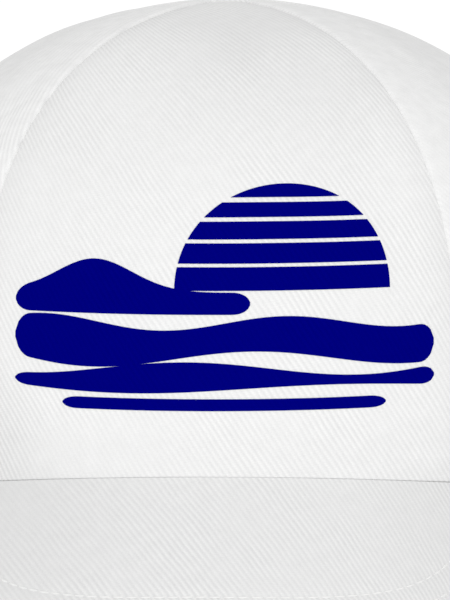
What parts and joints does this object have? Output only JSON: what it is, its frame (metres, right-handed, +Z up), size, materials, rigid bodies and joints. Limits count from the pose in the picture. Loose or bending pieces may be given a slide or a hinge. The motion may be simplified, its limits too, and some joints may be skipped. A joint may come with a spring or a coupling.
{
  "type": "baseball cap",
  "caption": "Soft baseball cap with a tall front panel, bent stitched visor, covered button, eyelets and a strap with a lever clasp behind.",
  "frame": {"origin": "bottom centre of the part's box, on the floor it rests on", "axes": "+Z up, -Y towards the visor's front, +X towards the wearer's left"},
  "size_m": [0.182, 0.2537, 0.137],
  "materials": {
    "white_twill": "matt cotton twill",
    "lining_cotton": "matt plain cotton",
    "stitched_thread": "satin thread",
    "board_core": "matt",
    "rivet_metal": "satin",
    "clasp_metal": "polished"
  },
  "bodies": {
    "cap": {"arch_binding": "lining_cotton", "button_rivet": "rivet_metal", "clasp_frame": "clasp_metal", "clasp_pin": "clasp_metal", "closure_strap": "white_twill", "closure_tab": "white_twill", "crown_button": "white_twill", "eyelet_rear_left": "stitched_thread", "eyelet_rear_right": "stitched_thread", "eyelet_side_left": "stitched_thread", "eyelet_side_right": "stitched_thread", "front_panel": "white_twill", "rear_panel_left": "white_twill", "rear_panel_right": "white_twill", "seam_tape_front_left": "lining_cotton", "seam_tape_front_right": "lining_cotton", "seam_tape_rear": "lining_cotton", "seam_tape_side_left": "lining_cotton", "seam_tape_side_right": "lining_cotton", "side_panel_left": "white_twill", "side_panel_right": "white_twill", "sweatband": "lining_cotton", "visor_board": "board_core", "visor_edge_fold": "white_twill", "visor_top_cloth": "white_twill", "visor_under_cloth": "white_twill"},
    "lever": {"clasp_lever": "clasp_metal"}
  },
  "joints": [
    {"name": "lever_hinge", "type": "hinge", "parent": "cap", "child": "lever", "pos_m": [0.00636, 0.12075, 0.01489], "axis": [0, 0.1826, 0.9832], "range_deg": [0, 100]}
  ]
}
